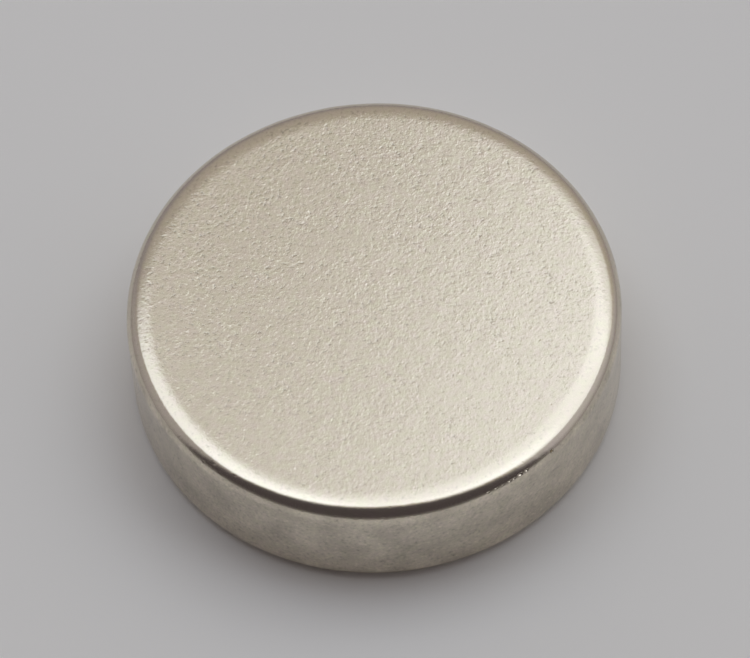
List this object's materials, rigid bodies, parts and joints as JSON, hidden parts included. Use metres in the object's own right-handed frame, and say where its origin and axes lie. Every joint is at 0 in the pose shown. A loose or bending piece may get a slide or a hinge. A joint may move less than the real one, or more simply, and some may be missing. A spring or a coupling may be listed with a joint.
{
  "type": "disc magnet",
  "caption": "Flat round disc magnet with a satin nickel-plated surface, rounded rims and a gentle shoulder round each flat face.",
  "frame": {"origin": "middle of the bottom face, on the disc's axis", "axes": "+Z along the disc's axis, from the bottom face to the top face; X and Y are alike, because the disc is round"},
  "size_m": [0.0126, 0.0126, 0.0032],
  "materials": {
    "nickel_plate": "satin nickel plate with a fine orange-peel grain"
  },
  "bodies": {
    "root": {"magnet": "nickel_plate"}
  },
  "joints": []
}
